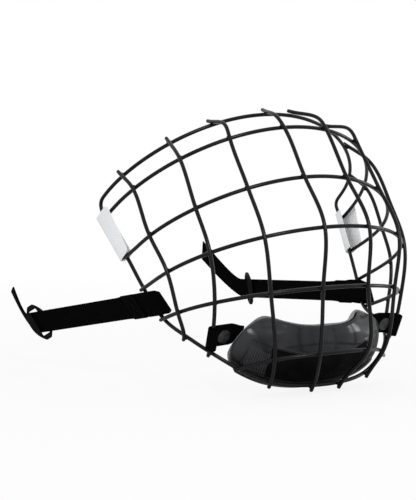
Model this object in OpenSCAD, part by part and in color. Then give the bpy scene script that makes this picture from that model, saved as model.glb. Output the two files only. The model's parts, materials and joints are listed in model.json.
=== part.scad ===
// Full-face wire cage for a sports helmet, with chin cup and side straps.
// +X is the wearer's left, +Y the back of the head, +Z up. The origin is the
// middle of the brow wire, where the cage meets the front edge of the helmet.

/* [Wire] */
// Diameter of the bars
wire_d = 2.5; // [2.2:0.1:2.8]
// How far crossing bars are set into each other by the weld
weld_set = 0.25; // [0.15:0.05:0.35]
// How far a cross bar runs past the ear edge wire
wire_over = 1; // [0.8:0.1:1.2]

/* [Brow wire] */
// Half width of the brow wire
brow_x = 100.5; // [99:0.5:102]
// How deep the brow wire's curve is in plan
brow_depth = 56; // [54:0.5:58]

/* [Forehead wire] */
// How much further out than the brow wire the forehead wire runs on each side
forehead_out = 1.5; // [0.5:0.5:2.5]
// Plan depth of the forehead wire
forehead_depth = 76.5; // [75:0.5:78]
// How far the forehead wire lies in front of the brow wire
forehead_front = 27; // [25:0.5:29]
// How far the forehead wire lies below the brow wire
forehead_down = 9; // [8:0.5:10]

/* [Eye wire] */
// How much further in than the brow wire the eye wire runs on each side
eye_in = 4.5; // [3.5:0.5:5.5]
// Plan depth of the eye wire
eye_depth = 62.5; // [61:0.5:64]
// How far the eye wire lies in front of the brow wire
eye_front = 48.5; // [47:0.5:50]
// How far the eye wire lies below the brow wire
eye_down = 40.5; // [39:0.5:42]

/* [Nose wire] */
// How much further in than the brow wire the nose wire runs on each side
nose_in = 9; // [8:0.5:9.5]
// Plan depth of the nose wire
nose_depth = 72; // [71:0.5:73]
// How far the nose wire lies in front of the brow wire
nose_front = 71; // [70:0.5:72]
// How far the nose wire lies below the brow wire
nose_down = 71; // [70:0.5:72]

/* [Mouth wire] */
// How much further in than the brow wire the mouth wire runs on each side
mouth_in = 15; // [14:0.5:15.5]
// Plan depth of the mouth wire
mouth_depth = 64; // [63:0.5:65]
// How far the mouth wire lies in front of the brow wire
mouth_front = 70.5; // [69.5:0.5:71.5]
// How far the mouth wire lies below the brow wire
mouth_down = 108.5; // [107.5:0.5:109.5]

/* [Label] */
// Length of each label along the ear edge wire
label_len = 34; // [32:0.5:35]
// How far each label reaches forward from the ear edge wire at its top
label_reach = 13.5; // [12:0.5:14]
// Thickness of the label sheet
label_t = 0.6; // [0.5:0.1:0.8]

/* [Side straps] */
// Width of the strap webbing
strap_w = 15; // [14:0.5:15.5]
// Thickness of the strap webbing
strap_t = 1.3; // [1:0.1:1.5]
// Length of the sewn patch
patch_len = 10; // [8:1:14]
// How much wider the sewn patch is than the webbing
patch_extra = 1.5; // [0:0.5:2.5]
// Thickness of the sewn patch
patch_t = 1; // [0.8:0.1:1.2]
// How far behind the wire the right slider sits
right_slider_at = 97; // [90:1:104]
// How far behind the wire the left slider sits
left_slider_at = 90; // [84:1:96]
// Swing of the right strap outward about the wire
right_swing = 8; // [0:1:15]
// Swing of the left strap outward about the wire
left_swing = -26; // [-40:1:-20]

/* [Sliders] */
// Length of each slider across the strap
slider_len = 28; // [27:0.5:30]
// Width of each slider
slider_w = 14; // [13:0.5:16]
// Thickness of each slider
slider_t = 2.4; // [2:0.1:2.8]
// Tilt of each slider against the strap
slider_tilt = 45; // [40:1:50]
// Play of the webbing in the slider's slot
slot_play = 0.4; // [0.3:0.05:0.6]

/* [Chin cup] */
// Full width of the chin cup
cup_w = 125; // [120:1:128]
// Height of the chin cup
cup_h = 48; // [46:0.5:50]
// Depth of the chin cup from its front to its back edge
cup_depth = 26; // [24:0.5:28]
// Thickness of the cup's outer shell
cup_shell = 2.2; // [1.8:0.1:2.6]
// Thickness of the cup's foam liner
cup_foam = 4.5; // [3.5:0.5:5.5]
// Depth of the recess that holds the vents and the band
cup_recess = 1.2; // [0.8:0.1:1.4]
// Width of the sling webbing
sling_w = 15; // [13:0.5:16]
// Thickness of the sling webbing
sling_t = 1.3; // [1:0.1:1.5]
// Diameter of the sling snaps
snap_d = 9; // [7:0.5:10]

/* [Hidden] */

sides = 8;
ring_step = 8;
joint_gap = 0.3;
wire_r = wire_d / 2;
cross_over = wire_d - weld_set;

function unit(v) = v / norm(v);
function flip(p) = [-p[0], p[1], p[2]];
function flip_all(path) = [for (p = path) flip(p)];
function backwards(path) = [for (i = [len(path) - 1 : -1 : 0]) path[i]];

// A cross bar is half an ellipse in plan, then runs straight back along the side.
// Fields: half width, plan depth, front Y, front Z, slope and curl of its fall.
brow = [brow_x, brow_depth, 0, 0, 1.24, 0.0043];
forehead = [brow_x + forehead_out, forehead_depth, -forehead_front, -forehead_down, 0.84, 0.0008];
eye = [brow_x - eye_in, eye_depth, -eye_front, -eye_down, 0.82, 0.0021];
nose = [brow_x - nose_in, nose_depth, -nose_front, -nose_down, 0.487, 0.0002];
mouth = [brow_x - mouth_in, mouth_depth, -mouth_front, -mouth_down, 0.27, -0.0005];

function bar_z(bar, y) = bar[3] - bar[4] * (y - bar[2]) + bar[5] * pow(y - bar[2], 2);
function bar_at(bar, turn) =
    let (y = bar[2] + bar[1] * (1 - cos(turn)))
    [bar[0] * sin(turn), y, bar_z(bar, y)];
function bar_run(bar, turn) =
    let (rise = bar[1] * sin(turn))
    unit([bar[0] * cos(turn), rise, rise * (-bar[4] + 2 * bar[5] * bar[1] * (1 - cos(turn)))]);
function bar_side(bar, y) = [bar[0], y, bar_z(bar, y)];

// Where each cross bar ends on the ear edge wire, as a distance behind the brow wire
forehead_end = 53;
eye_end = 35.3;
nose_end = 21.3;
mouth_end = 6.8;
corner_run = 5.5;
corner = bar_side(brow, brow_depth + corner_run);
corner_cut = 7;

// Points drawn for a brow wire of this half width move out and in with it
brow_drawn = 100.5;
function spread(points) = [for (p = points) [p[0] * brow_x / brow_drawn, p[1], p[2]]];
// Where the uprights cross the jaw part of the rim: nose, eye, cheek, temple bars
jaw = spread([[11, -52, -172], [39, -46, -168.5], [72, -29, -149.5], [80, -14.5, -141]]);
// Where the chin wire crosses the nose and eye bars, and how far between the eye
// and cheek bars it ends on the jaw
chin = spread([[18.5, -69, -149.5], [43, -56, -153]]);
chin_stop = 0.45;
// Where the nose and eye bars bend down in front of the brow
top_bend = spread([[17.5, -23, -6.5], [51.5, -14, -12]]);
// How far the uprights run past the brow wire and past the jaw
top_over = 4;
foot_over = 2.5;
// The way each upright leaves the jaw
foot_run = [[0, 1, -1.6], [0, 1, -1.6], [-0.2, 1, -1.4], [-0.3, 1, -0.9]];

// Angle round each cross bar at which each upright crosses it,
// in the order brow, forehead, eye, nose, mouth
nose_bar_turns = [6.5, 9.5, 10, 11, 12];
eye_bar_turns = [29, 30, 33, 35.5, 35];
cheek_bar_turns = [47, 49, 55, 58, 60.5];
temple_bar_turns = [72, 70, 81, 81, 83];

// Smooth curve through points: each joint takes a slope weighted by its neighbours
function chord(p, i) = norm(p[i + 1] - p[i]);
function slope(p, i) = (p[i + 1] - p[i]) / chord(p, i);
function knot(p, i) =
    i == 0 ? slope(p, 0) :
    i == len(p) - 1 ? slope(p, len(p) - 2) :
    (slope(p, i - 1) * chord(p, i) + slope(p, i) * chord(p, i - 1))
        / (chord(p, i - 1) + chord(p, i));
function hermite(a, b, m, n, h, s) =
    a * (2 * pow(s, 3) - 3 * pow(s, 2) + 1) + h * m * (pow(s, 3) - 2 * pow(s, 2) + s)
    + b * (3 * pow(s, 2) - 2 * pow(s, 3)) + h * n * (pow(s, 3) - pow(s, 2));
function smooth(p, step = ring_step) = [
    for (i = [0 : len(p) - 2])
        let (h = chord(p, i), steps = max(1, ceil(h / step)))
        for (j = [0 : steps - 1])
            hermite(p[i], p[i + 1], knot(p, i), knot(p, i + 1), h, j / steps),
    p[len(p) - 1]
];

// Round bar swept along a path. The ring's first corner points along "lead".
function heading(path, i, closed) =
    let (n = len(path))
    unit(closed ? path[(i + 1) % n] - path[(i + n - 1) % n]
        : path[min(i + 1, n - 1)] - path[max(i - 1, 0)]);
function ring(at, along, lead, radius) =
    let (u = unit(lead - (lead * along) * along), v = cross(along, u))
    [for (k = [0 : sides - 1]) at + radius * (cos(360 * k / sides) * u + sin(360 * k / sides) * v)];
module sweep(path, lead, radius = wire_r, closed = false) {
    n = len(path);
    last = closed ? n - 1 : n - 2;
    polyhedron(
        points = [
            for (i = [0 : n - 1])
                each ring(path[i], heading(path, i, closed), lead, radius)
        ],
        faces = concat(
            [
                for (i = [0 : last])
                    let (a = i * sides, b = ((i + 1) % n) * sides)
                    for (k = [0 : sides - 1])
                        let (m = (k + 1) % sides)
                        each [[a + k, b + m, a + m], [a + k, b + k, b + m]]
            ],
            closed ? [] : [
                [for (k = [0 : sides - 1]) k],
                [for (k = [sides - 1 : -1 : 0]) (n - 1) * sides + k]
            ]
        )
    );
}

// Cross bar: back along one side, round the front and back along the other
turn_step = 9;
function half_bar(bar, end_y) = concat(
    [for (t = [0 : turn_step : 90]) bar_at(bar, t)],
    let (start = bar[2] + bar[1], steps = max(1, ceil((end_y - start) / ring_step)))
    [for (i = [1 : steps]) bar_side(bar, start + (end_y - start) * i / steps)]
);
function both_sides(half) = concat(backwards(flip_all(half)), [for (i = [1 : len(half) - 1]) half[i]]);
module cross_bar(bar, end_y)
    color("#1b1c1e") sweep(both_sides(half_bar(bar, end_y + wire_over)), [0, 0, 1]);

// Rim: brow curve, rounded corner, ear edge inside the cross bars' ends, jaw
function inside(p) = p - [cross_over, 0, 0];
ear_edge = [
    inside(bar_side(forehead, forehead_end)), inside(bar_side(eye, eye_end)),
    inside(bar_side(nose, nose_end)), inside(bar_side(mouth, mouth_end))
];
corner_in = corner + corner_cut * unit(bar_side(brow, brow_depth) - corner);
corner_out = corner + corner_cut * unit(ear_edge[0] - corner);
rim_side = concat([corner_out], ear_edge, backwards(jaw), [flip(jaw[0])]);
function along(p, i, s) = hermite(p[i], p[i + 1], knot(p, i), knot(p, i + 1), chord(p, i), s);
function half_rim() = concat(
    [for (t = [0 : turn_step : 81]) bar_at(brow, t)],
    [for (s = [0 : 0.2 : 1]) pow(1 - s, 2) * corner_in + 2 * s * (1 - s) * corner + s * s * corner_out],
    let (p = smooth(rim_side)) [for (i = [1 : len(p) - 1]) if (p[i][0] > 0) p[i]]
);
module rim_wire()
    color("#1b1c1e")
    let (half = half_rim())
    sweep(concat(half, backwards(flip_all([for (i = [1 : len(half) - 1]) half[i]]))), [0, 1, 0], closed = true);

// Uprights lie outside the cross bars, and their welds pull them in a little
cage_core = [0, 20, -90];
function outward(at, run_a, run_b) =
    let (n = unit(cross(run_a, run_b)))
    n * (at - cage_core) > 0 ? n : -n;
function lift(at, run_a, run_b) = at + cross_over * outward(at, run_a, run_b);
chin_root = along(rim_side, 6, chin_stop);
chin_end = lift(chin_root, unit(knot(rim_side, 7) + knot(rim_side, 6)), unit(chin_root - chin[1]));
chin_half = [chin[0], chin[1], chin_end, chin_end + wire_over * unit(chin_end - chin[1])];
cross_bars = [brow, forehead, eye, nose, mouth];
function crossing(turns, i) = bar_at(cross_bars[i], turns[i]);
function on_bar(turns, i) =
    let (up = crossing(turns, max(i - 1, 0)), down = crossing(turns, min(i + 1, 4)))
    lift(crossing(turns, i), bar_run(cross_bars[i], turns[i]), unit(down - up));
function on_jaw(turns, k) =
    lift(jaw[k], unit(knot(rim_side, 8 - k)), unit(jaw[k] - (k < 2 ? chin[k] : crossing(turns, 4))));
function on_chin(turns, k) =
    lift(chin[k], unit(knot(chin_half, k)), unit(jaw[k] - crossing(turns, 4)));
function bent_top(turns, k) = lift(top_bend[k], [1, 0, 0], unit(crossing(turns, 0) - top_bend[k]));
function on_brow(turns, k) =
    lift(crossing(turns, 0), bar_run(brow, turns[0]), unit(crossing(turns, 0) - top_bend[k]));
function stub(from, past) = [past + top_over * unit(past - from), past];
function upright_path(turns, k) = concat(
    k < 2 ? concat(stub(bent_top(turns, k), on_brow(turns, k)), [bent_top(turns, k)])
        : stub(on_bar(turns, 1), on_bar(turns, 0)),
    [for (i = [1 : 4]) on_bar(turns, i)],
    k < 2 ? [on_chin(turns, k)] : [],
    [on_jaw(turns, k), on_jaw(turns, k) + foot_over * unit(foot_run[k])]
);
module upright(turns, k)
    color("#1b1c1e") sweep(smooth(upright_path(turns, k)), [1, 0, 0]);

module chin_wire()
    color("#1b1c1e")
        sweep(smooth(concat(backwards(flip_all(chin_half)), chin_half)), [0, 0, 1]);

// A frame on a bar of the left side: X back, Y outward, Z down along the bar
function turn_of(e) = [0, acos(e[2]), atan2(e[1], e[0])];
function spin_of(e) =
    let (c = turn_of(e), q = unit([1, 0, 0] - e[0] * e))
    let (x = [cos(c[1]) * cos(c[2]), cos(c[1]) * sin(c[2]), -sin(c[1])], y = [-sin(c[2]), cos(c[2]), 0])
    atan2(-q * x, q * y);
module on_line(at, e, swing = 0)
    translate(at) rotate(turn_of(e)) rotate([0, 0, spin_of(e) + swing]) children();
// An outline in X and Z, made into a plate that starts at Y = 0 and grows outward
module side_plate(thick) rotate([-90, 0, 0]) linear_extrude(thick) children();

// Label: one sheet folded round the ear edge wire and over the cross bars' ends
label_run = unit(ear_edge[1] - ear_edge[0]);
label_mid = along(rim_side, 1, 0.43);
label_gap = 0.3;
label_sag = 1;
label_top = cross_over + wire_r + label_gap;
label_bottom = -wire_r - label_sag;
fold_r = (label_top - label_bottom) / 2;
fold_x = 0.6;
label_flap = 4;
label_slant = 0.1;
module label_profile() {
    translate([fold_x, label_bottom + fold_r]) difference() {
        circle(r = fold_r + label_t, $fn = 48);
        circle(r = fold_r, $fn = 48);
        translate([-2 * fold_r, -2 * fold_r]) square([2 * fold_r, 4 * fold_r]);
    }
    translate([-label_reach, label_top]) square([label_reach + fold_x, label_t]);
    translate([-label_flap, label_bottom - label_t]) square([label_flap + fold_x, label_t]);
}
module label_outline() {
    back = fold_x + fold_r + 2 * label_t;
    corner_r = 3;
    hull() {
        for (side = [-1, 1])
            translate([corner_r - label_reach + (side > 0 ? label_slant * label_len : 0),
                       -side * (label_len / 2 - corner_r)]) circle(r = corner_r, $fn = 24);
        translate([back - 1, -label_len / 2]) square([1, label_len]);
    }
}
module label()
    color("#e9edee") on_line(label_mid, label_run) intersection() {
        translate([0, 0, -label_len / 2]) linear_extrude(label_len) label_profile();
        translate([0, label_bottom - 2 * label_t, 0])
            side_plate(label_top - label_bottom + 4 * label_t) label_outline();
    }

// Flat band swept through stations of centre, half width and face normal
module band(stations, thick) {
    n = len(stations);
    polyhedron(
        points = [
            for (s = stations)
                each [
                    s[0] + s[1] + s[2] * thick / 2, s[0] - s[1] + s[2] * thick / 2,
                    s[0] - s[1] - s[2] * thick / 2, s[0] + s[1] - s[2] * thick / 2
                ]
        ],
        faces = concat(
            [
                for (i = [0 : n - 2], k = [0 : 3])
                    let (a = 4 * i, b = 4 * i + 4, m = (k + 1) % 4)
                    each [[a + k, b + k, b + m], [a + k, b + m, a + m]]
            ],
            [[0, 1, 2, 3], [4 * n - 1, 4 * n - 2, 4 * n - 3, 4 * n - 4]]
        )
    );
}
// Stations of a band whose path lies in X and Y and whose width runs along Z,
// raked so that it climbs by "rise" in Z for each step in X
function flat_stations(path, half, rise) = [
    for (i = [0 : len(path) - 1])
        let (t = heading([for (p = path) [p[0], p[1], 0]], i, false))
        [[path[i][0], path[i][1], rise * path[i][0]], [0, 0, half], [t[1], -t[0], 0]]
];

// Side strap: looped round the ear edge wire between nose and mouth bars
strap_run = unit(ear_edge[3] - ear_edge[2]);
strap_at = along(rim_side, 3, 0.44);
strap_rake = 29.5;
strap_rise = -tan(strap_rake);
strap_half = strap_w / cos(strap_rake) / 2;
loop_gap = 0.8;
loop_r = wire_r + loop_gap + strap_t / 2;
loop_nose = 6;
loop_mouth = 4;
layers_meet = 8;
layer_y = strap_t / 2 + 0.1;
strap_lap = layers_meet + patch_len - 2;
tail_gap = 4;
tail_bend = 8;
right_tail = [13.7, -11, -37.6];
left_tail = [22.9, -15.4, -41.9];
right_twist = [0.825, -0.52, -0.23];
left_twist = [0.6, 0.58, 0.55];
function strap_loop() = concat(
    [[strap_lap, -layer_y], [layers_meet, -layer_y], [loop_mouth, -loop_r]],
    [for (t = [270 : -18 : 90]) [-loop_nose + loop_r * cos(t), loop_r * sin(t)]],
    [[loop_mouth, loop_r], [layers_meet, layer_y]]
);
function tail_stations(x, reach, twist) =
    let (
        start = [x, layer_y, strap_rise * x],
        run = unit([1, 0, strap_rise]),
        tip = start + reach,
        bend = start + tail_bend * run
    )
    [
        for (s = [0.125 : 0.125 : 1])
            let (
                at = pow(1 - s, 2) * start + 2 * s * (1 - s) * bend + s * s * tip,
                go = unit(2 * (1 - s) * (bend - start) + 2 * s * (tip - bend)),
                wide = (1 - s) * [0, 0, strap_half] + s * strap_w / 2 * unit(twist)
            )
            [at, wide, unit(cross(go, wide))]
    ];
module strap(slider_at, swing, reach, twist)
    color("#141416") on_line(strap_at, strap_run, swing) band(
        concat(
            flat_stations(concat(strap_loop(), [[slider_at + tail_gap, layer_y]]), strap_half, strap_rise),
            tail_stations(slider_at + tail_gap, reach, twist)
        ),
        strap_t
    );
module strap_patch(swing) {
    wide = (strap_w + patch_extra) / cos(strap_rake);
    start = layers_meet + 0.5;
    color("#141416") on_line(strap_at, strap_run, swing)
        translate([0, layer_y + strap_t / 2, 0]) side_plate(patch_t) polygon([
            for (x = [start, start + patch_len]) [x, -strap_rise * x - wide / 2],
            for (x = [start + patch_len, start]) [x, -strap_rise * x + wide / 2]
        ]);
}

// Slider: a lens shaped plate that the webbing passes through at a slant
slot_w = strap_t / sin(slider_tilt) + slider_t / tan(slider_tilt) + 2 * slot_play;
slot_len = 2 * (strap_half + slot_play)
    - strap_rise * (slider_t * sin(slider_tilt) + slot_w * cos(slider_tilt));
lens_cut = 4;
module slider_outline() {
    half_len = (slider_len + lens_cut) / 2;
    half_w = slider_w / 2;
    lens_r = (half_len * half_len + half_w * half_w) / slider_w;
    intersection() {
        for_lens(lens_r - half_w) circle(r = lens_r, $fn = 96);
        square([slider_w, slider_len], center = true);
    }
}
module for_lens(shift) intersection() {
    translate([shift, 0]) children();
    translate([-shift, 0]) children();
}
module slider(slider_at, swing)
    color("#26272a") on_line(strap_at, strap_run, swing)
        translate([slider_at, layer_y, strap_rise * slider_at]) rotate([0, 0, slider_tilt])
        translate([0, -slider_t / 2, 0]) side_plate(slider_t) difference() {
            slider_outline();
            square([slot_w, slot_len], center = true);
        }

// Chin cup: rails from its top rim to its bottom lip, each from the middle to the side,
// drawn for a cup of the size in cup_drawn
cup_drawn = [125, 26, 48];
cup_front = [0, -55.9, -132];
cup_rails = [
    [[0, 1, 0], [14, 2.5, -0.5], [28, 8, 0.5], [40, 17, 3.5], [52, 19, 2], [59, 21, -3]],
    [[0, 0, -10], [14, 1, -9.5], [28, 5, -7.5], [41, 11.5, -4], [54, 17, -4], [61.5, 23, -8.5]],
    [[0, 1.3, -22], [14, 2, -21.5], [28, 5, -18], [41, 9, -13.5], [54, 15.5, -10], [62.5, 24.5, -15]],
    [[0, 6, -34], [14, 7, -33.5], [28, 9, -31.5], [42, 12.5, -28.5], [55, 19, -24.5], [61.5, 26, -23]],
    [[0, 19, -44], [14, 19, -43.5], [28, 19.5, -41.5], [41, 20, -38], [51, 22, -33.5], [58, 25, -29]]
];
cup_heart = [0, 30, -15];
cup_cols = [0, 0.5, 1, 1.5, 2, 2.5, 3, 3.5, 4, 4.25, 4.4, 4.7, 5];
cup_rows = [0, 0.5, 1, 1.5, 2, 2.1, 2.5, 3, 3.5, 3.6, 4];
recess_cols = 4.25;
recess_rows = [2.1, 3.5];
band_cols = 3;
vent_cols = [3.1, 4.25];
vent_ribs = 9;
liner_lip = 1.2;
function stretch_cup(p) = [p[0] * cup_w / cup_drawn[0], p[1] * cup_depth / cup_drawn[1], p[2] * cup_h / cup_drawn[2]];
function between(p, x, last) =
    let (i = min(floor(x), last - 1))
    hermite(p[i], p[i + 1], knot(p, i), knot(p, i + 1), chord(p, i), x - i);
function rail_at(rail, u) =
    let (p = concat([flip(rail[1])], rail), q = between(p, abs(u) + 1, len(p) - 1))
    u < 0 ? flip(q) : q;
function cup_skin(u, v) = between([for (rail = cup_rails) rail_at(rail, u)], v, len(cup_rails) - 1);
function cup_at(u, v, depth) =
    let (p = stretch_cup(cup_skin(u, v)))
    cup_front + p + depth * unit(stretch_cup(cup_heart) - p);
function both_cols(cols) = concat([for (i = [len(cols) - 1 : -1 : 1]) -cols[i]], cols);

// Closed shell between an outer and an inner grid of the same size
module grid_shell(outer, inner) {
    rows = len(outer);
    cols = len(outer[0]);
    n = rows * cols;
    edge = concat(
        [for (j = [0 : cols - 1]) j],
        [for (i = [1 : rows - 1]) i * cols + cols - 1],
        [for (j = [cols - 2 : -1 : 0]) (rows - 1) * cols + j],
        [for (i = [rows - 2 : -1 : 1]) i * cols]
    );
    polyhedron(
        points = concat([for (row = outer) each row], [for (row = inner) each row]),
        faces = concat(
            [
                for (i = [0 : rows - 2], j = [0 : cols - 2])
                    let (a = i * cols + j, b = a + cols)
                    each [
                        [a, a + 1, b + 1], [a, b + 1, b],
                        [n + a, n + b + 1, n + a + 1], [n + a, n + b, n + b + 1]
                    ]
            ],
            [
                for (k = [0 : len(edge) - 1])
                    let (a = edge[k], b = edge[(k + 1) % len(edge)])
                    each [[a, n + a, n + b], [a, n + b, b]]
            ]
        )
    );
}
function in_recess(u, v) = abs(u) <= recess_cols && v >= recess_rows[0] && v <= recess_rows[1];
module chin_cup_shell()
    color("#3a3b3e") grid_shell(
        [for (v = cup_rows) [for (u = both_cols(cup_cols)) cup_at(u, v, in_recess(u, v) ? cup_recess : 0)]],
        [for (v = cup_rows) [for (u = both_cols(cup_cols)) cup_at(u, v, cup_shell)]]
    );
function liner_grid(depth) = [
    for (v = concat([-1], cup_rows))
        [for (u = both_cols(cup_cols)) cup_at(u, max(v, 0), depth) + [0, 0, v < 0 ? liner_lip : 0]]
];
module chin_cup_liner()
    color("#8d8f92") grid_shell(liner_grid(cup_shell), liner_grid(cup_shell + cup_foam));
module chin_cup_band() {
    cols = both_cols([for (u = cup_cols) if (u <= band_cols) u]);
    rows = [for (v = cup_rows) if (v >= recess_rows[0] && v <= recess_rows[1]) v];
    color("#161618") grid_shell(
        [for (v = rows) [for (u = cols) cup_at(u, v, cup_recess / 4)]],
        [for (v = rows) [for (u = cols) cup_at(u, v, cup_recess)]]
    );
}
module vent_pad() {
    steps = 4 * vent_ribs;
    cols = [for (i = [0 : steps]) vent_cols[0] + (vent_cols[1] - vent_cols[0]) * i / steps];
    rows = [2.15, 2.5, 3, 3.45];
    color("#202124") grid_shell(
        [for (v = rows) [for (i = [0 : steps])
            cup_at(cols[i], v, cup_recess * (i % 4 == 1 || i % 4 == 2 ? 0.2 : 0.6))]],
        [for (v = rows) [for (u = cols) cup_at(u, v, cup_recess - 0.1)]]
    );
}

// Sling: webbing looped round the lower part of each cheek bar, behind the cup's side
cheek_path = upright_path(cheek_bar_turns, 2);
sling_seat = 0.68;
sling_run = unit(along(cheek_path, 5, sling_seat + 0.2) - along(cheek_path, 5, sling_seat - 0.2));
sling_at = along(cheek_path, 5, sling_seat);
sling_gap = 0.9;
sling_lap = 4.1;
sling_r = wire_r + sling_gap + sling_t / 2;
wing_lap = 5;
sling_wing = sling_at[0] - cup_w / 2 + wing_lap;
sling_reach = sling_wing + 9;
wing_step = 0.7;
snap_y = -9;
snap_cap = 1.8;
snap_washer = 1.2;
function sling_path() = concat(
    [[sling_r + wing_step, -sling_reach], [sling_r + wing_step, -sling_wing - 3], [sling_r, -sling_wing]],
    [for (t = [0 : 18 : 270]) [sling_r * cos(t), sling_r * sin(t)]],
    [[sling_r - sling_t - 0.1, -sling_lap]]
);
module sling()
    color("#141416") on_line(sling_at, sling_run)
        band(flat_stations(sling_path(), sling_w / 2, 0), sling_t);
module sling_snap()
    color("#6f7276") on_line(sling_at, sling_run) translate([0, snap_y, 0]) rotate([0, 90, 0]) {
        translate([0, 0, sling_r - sling_t / 2 - snap_cap]) cylinder(d = snap_d, h = snap_cap, $fn = 32);
        translate([0, 0, sling_r + sling_t / 2]) cylinder(d = snap_d - 2, h = snap_washer, $fn = 32);
    }

rim_wire();
cross_bar(forehead, forehead_end);  // forehead_wire
cross_bar(eye, eye_end);  // eye_wire
cross_bar(nose, nose_end);  // nose_wire
cross_bar(mouth, mouth_end);  // mouth_wire
chin_wire();
mirror([1, 0, 0]) upright(temple_bar_turns, 3);  // right_temple_bar
mirror([1, 0, 0]) upright(cheek_bar_turns, 2);  // right_cheek_bar
mirror([1, 0, 0]) upright(eye_bar_turns, 1);  // right_eye_bar
mirror([1, 0, 0]) upright(nose_bar_turns, 0);  // right_nose_bar
upright(nose_bar_turns, 0);  // left_nose_bar
upright(eye_bar_turns, 1);  // left_eye_bar
upright(cheek_bar_turns, 2);  // left_cheek_bar
upright(temple_bar_turns, 3);  // left_temple_bar
mirror([1, 0, 0]) label();  // right_label
label();  // left_label
chin_cup_shell();
chin_cup_liner();
chin_cup_band();
mirror([1, 0, 0]) vent_pad();  // right_vent_pad
vent_pad();  // left_vent_pad
mirror([1, 0, 0]) sling();  // right_sling
sling();  // left_sling
mirror([1, 0, 0]) sling_snap();  // right_sling_snap
sling_snap();  // left_sling_snap
mirror([1, 0, 0]) strap(right_slider_at, right_swing, right_tail, right_twist);  // right_strap
strap(left_slider_at, left_swing, left_tail, left_twist);  // left_strap
mirror([1, 0, 0]) strap_patch(right_swing);  // right_strap_patch
strap_patch(left_swing);  // left_strap_patch
mirror([1, 0, 0]) slider(right_slider_at, right_swing);  // right_slider
slider(left_slider_at, left_swing);  // left_slider
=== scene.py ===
import bpy
import json
from math import cos, pi, radians, sin, sqrt
from mathutils import Matrix, Vector

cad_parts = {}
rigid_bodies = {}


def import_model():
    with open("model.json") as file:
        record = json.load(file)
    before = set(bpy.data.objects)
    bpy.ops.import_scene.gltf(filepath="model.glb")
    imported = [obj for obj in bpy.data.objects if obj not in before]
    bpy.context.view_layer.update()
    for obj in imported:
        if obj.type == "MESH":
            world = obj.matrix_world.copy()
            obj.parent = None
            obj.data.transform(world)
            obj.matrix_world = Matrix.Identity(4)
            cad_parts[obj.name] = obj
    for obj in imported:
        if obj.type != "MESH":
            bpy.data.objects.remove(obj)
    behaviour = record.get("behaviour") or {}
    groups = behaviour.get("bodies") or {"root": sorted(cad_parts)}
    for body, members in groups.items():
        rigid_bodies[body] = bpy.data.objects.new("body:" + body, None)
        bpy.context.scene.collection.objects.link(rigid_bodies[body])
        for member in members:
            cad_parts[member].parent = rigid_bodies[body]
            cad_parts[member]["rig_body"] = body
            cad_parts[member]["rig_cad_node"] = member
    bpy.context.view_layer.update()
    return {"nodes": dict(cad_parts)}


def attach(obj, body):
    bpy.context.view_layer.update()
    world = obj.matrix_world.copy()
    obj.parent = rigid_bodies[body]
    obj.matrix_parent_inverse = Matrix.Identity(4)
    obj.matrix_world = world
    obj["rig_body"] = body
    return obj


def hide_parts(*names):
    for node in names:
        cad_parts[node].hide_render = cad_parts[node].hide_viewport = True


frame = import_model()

MM = 0.001
SIDES = {"left": 1, "right": -1}
NODES = frame["nodes"]

# Sizes are in millimetres, as in the part's source, and places turn them into metres with MM.


# Tools of the bench

# Points closer than this are one, in metres: in a new mesh and in a copy of a CAD node
MERGE_NEW, MERGE_COPY = 1e-6, 2e-6
# Two triangles of a copy become a quad up to these angles, in degrees
QUAD_BEND, QUAD_SKEW = 40, 60


def let_go():
    bpy.ops.object.select_all(action="DESELECT")


def take(*pieces):
    let_go()
    for piece in pieces:
        piece.select_set(True)
    bpy.context.view_layer.objects.active = pieces[0]


def name_piece(name):
    piece = bpy.context.object
    piece.name = piece.data.name = name
    return piece


def apply_modifiers(piece):
    take(piece)
    for modifier in [m.name for m in piece.modifiers]:
        bpy.ops.object.modifier_apply(modifier=modifier)


def subdivide_smooth(piece, levels):
    modifier = piece.modifiers.new("smooth", "SUBSURF")
    modifier.levels = modifier.render_levels = levels
    apply_modifiers(piece)


def round_edges(piece, width, segments, angle):
    modifier = piece.modifiers.new("edges", "BEVEL")
    modifier.width = width * MM
    modifier.segments = segments
    modifier.limit_method = "ANGLE"
    modifier.angle_limit = radians(angle)
    modifier.harden_normals = False
    apply_modifiers(piece)


def thicken(piece, thickness, offset=0.0, even=True):
    modifier = piece.modifiers.new("thickness", "SOLIDIFY")
    modifier.thickness = thickness * MM
    modifier.offset = offset
    modifier.use_even_offset = even
    apply_modifiers(piece)


def face_out(piece):
    take(piece)
    bpy.ops.object.mode_set(mode="EDIT")
    bpy.ops.mesh.select_all(action="SELECT")
    bpy.ops.mesh.remove_doubles(threshold=MERGE_NEW)
    bpy.ops.mesh.normals_make_consistent(inside=False)
    bpy.ops.object.mode_set(mode="OBJECT")


# Smooth shading, all over or only across edges flatter than an angle in degrees
def shade(piece, angle=None):
    take(piece)
    if angle is None:
        bpy.ops.object.shade_smooth()
    else:
        bpy.ops.object.shade_smooth_by_angle(angle=radians(angle))


def settle(piece):
    take(piece)
    bpy.ops.object.transform_apply(location=True, rotation=True, scale=True)


def join(pieces, name):
    take(*pieces)
    if len(pieces) > 1:
        bpy.ops.object.join()
    return name_piece(name)


# New piece with the mesh of a CAD node, which itself stays as it is
def copy_of(node, name):
    piece = NODES[node].copy()
    piece.data = NODES[node].data.copy()
    piece.name = piece.data.name = name
    bpy.context.scene.collection.objects.link(piece)
    piece.parent = None
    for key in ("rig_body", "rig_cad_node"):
        if key in piece:
            del piece[key]
    piece.data.materials.clear()
    take(piece)
    bpy.ops.object.mode_set(mode="EDIT")
    bpy.ops.mesh.select_all(action="SELECT")
    bpy.ops.mesh.remove_doubles(threshold=MERGE_COPY)
    bpy.ops.mesh.tris_convert_to_quads(face_threshold=radians(QUAD_BEND), shape_threshold=radians(QUAD_SKEW))
    bpy.ops.object.mode_set(mode="OBJECT")
    return piece


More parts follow.
